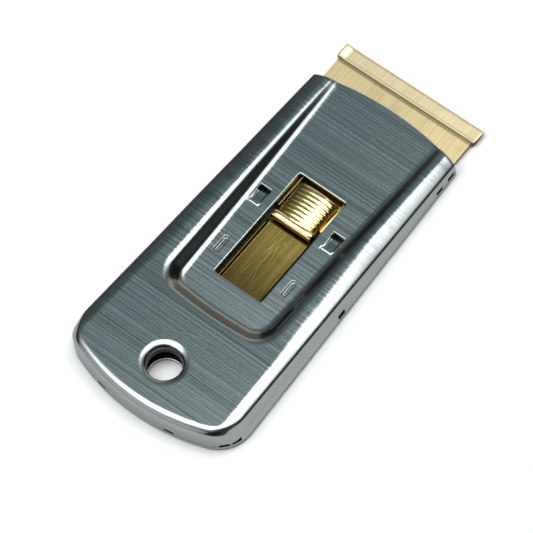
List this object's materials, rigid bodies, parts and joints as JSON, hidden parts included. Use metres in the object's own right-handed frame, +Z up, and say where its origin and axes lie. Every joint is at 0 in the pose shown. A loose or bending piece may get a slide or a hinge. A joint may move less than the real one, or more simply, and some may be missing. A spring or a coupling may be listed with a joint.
{
  "type": "razor blade scraper",
  "caption": "Pocket scraper: a pressed, wedge-shaped steel housing from which a brass carrier pushes a single-edged blade when its ribbed thumb button is slid forward.",
  "frame": {"origin": "middle of the part's bounding box, on the underside of the base plate", "axes": "+X across the blade, +Y from the hang hole towards the blade, +Z up out of the base plate"},
  "size_m": [0.0474, 0.1024, 0.0076],
  "materials": {
    "housing_steel": "brushed across its width, slightly scratched",
    "base_steel": "satin",
    "carrier_brass": "worn, with scratches along its travel",
    "button_brass": "polished",
    "rivet_brass": "polished",
    "blade_steel": "satin, reflecting the warm spine",
    "spine_metal": "pale gold plating, finely brushed"
  },
  "bodies": {
    "housing": {"top_shell": "housing_steel", "base_plate": "base_steel"},
    "carrier": {"blade_carrier": "carrier_brass", "leaf_rivets": "rivet_brass"},
    "button": {"thumb_button": "button_brass"},
    "blade": {"razor_blade": "blade_steel", "blade_spine": "spine_metal"}
  },
  "joints": [
    {"name": "carrier_slide", "type": "slide", "parent": "housing", "child": "carrier", "axis": [0, 1, 0], "range_m": [-0.0183, 0]},
    {"name": "button_press", "type": "hinge", "parent": "carrier", "child": "button", "pos_m": [0, 0.02895, 0.00153], "axis": [1, 0, 0], "range_deg": [0, 2.1], "stiffness_Nm_per_rad": 1.2},
    {"name": "blade_change", "type": "slide", "parent": "carrier", "child": "blade", "axis": [0, 1, 0], "range_m": [0, 0.022]}
  ]
}
